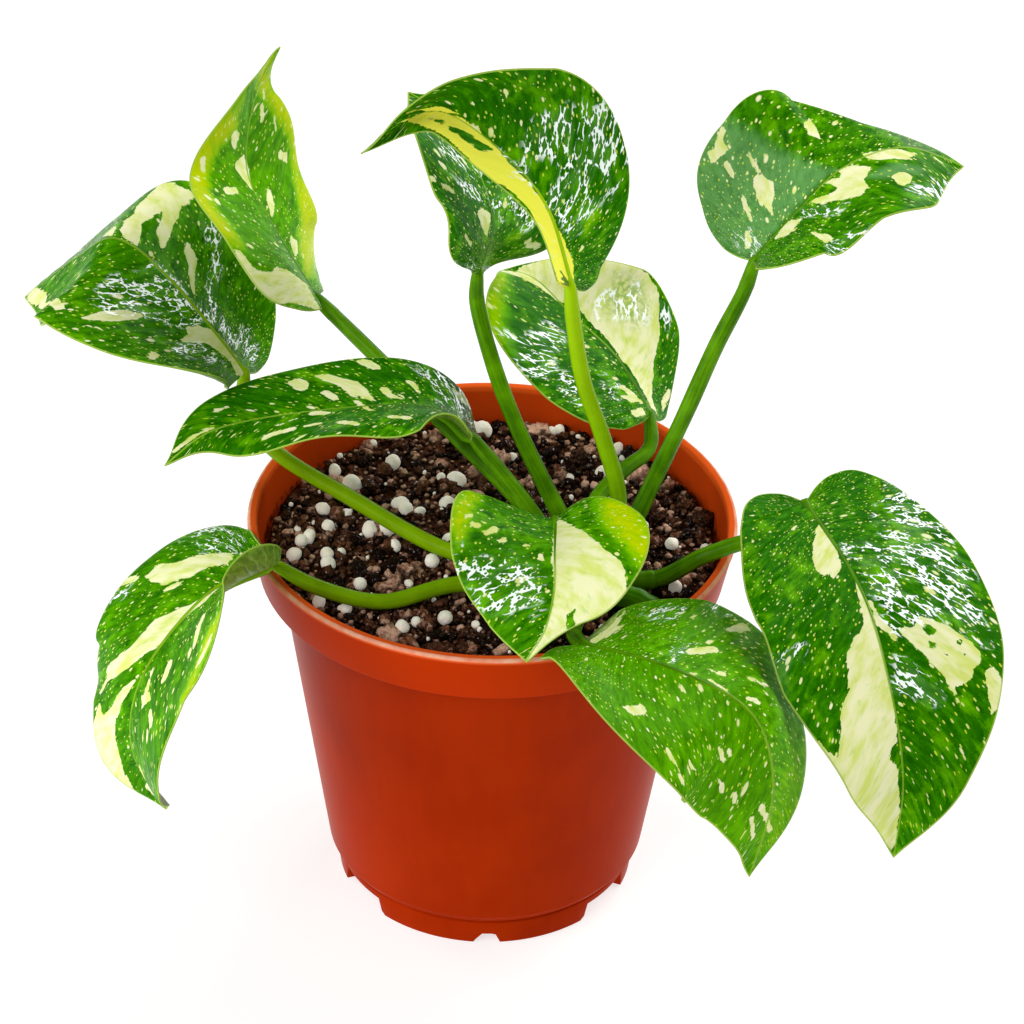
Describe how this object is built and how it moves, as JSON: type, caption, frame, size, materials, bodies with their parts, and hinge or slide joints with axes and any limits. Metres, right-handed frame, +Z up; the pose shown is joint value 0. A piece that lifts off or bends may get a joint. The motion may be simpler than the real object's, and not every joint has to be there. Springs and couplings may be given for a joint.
{
  "type": "potted variegated foliage plant",
  "caption": "Speckled, cream-patched foliage plant with arching glossy heart-shaped leaves, growing in a bark and perlite mix in a round orange-red plastic nursery pot.",
  "frame": {"origin": "centre of the pot's base, on the plane that the pot stands on", "axes": "+Z up along the pot's axis; -Y towards the front, where the heart-shaped front leaf faces; +X to the right seen from the front"},
  "size_m": [0.2423, 0.1771, 0.2289],
  "materials": {
    "pot": "satin orange-red plastic",
    "soil": "moist peat and bark with off-white perlite",
    "crown": "satin green stem",
    "stalk": "satin green leaf stalk",
    "blade": "glossy deep green leaf with cream and yellow speckles and patches"
  },
  "bodies": {
    "root": {"pot": "pot", "soil": "soil", "crown": "crown", "leaf_far_left_stalk": "stalk", "leaf_far_left_blade": "blade", "leaf_upper_left_stalk": "stalk", "leaf_upper_left_blade": "blade", "leaf_top_middle_stalk": "stalk", "leaf_top_middle_blade": "blade", "leaf_upper_right_stalk": "stalk", "leaf_upper_right_blade": "blade", "leaf_behind_middle_stalk": "stalk", "leaf_behind_middle_blade": "blade", "leaf_centre_back_stalk": "stalk", "leaf_centre_back_blade": "blade", "leaf_middle_left_stalk": "stalk", "leaf_middle_left_blade": "blade", "leaf_low_left_stalk": "stalk", "leaf_low_left_blade": "blade", "leaf_front_centre_stalk": "stalk", "leaf_front_centre_blade": "blade", "leaf_front_right_stalk": "stalk", "leaf_front_right_blade": "blade", "leaf_right_stalk": "stalk", "leaf_right_blade": "blade"}
  },
  "joints": []
}
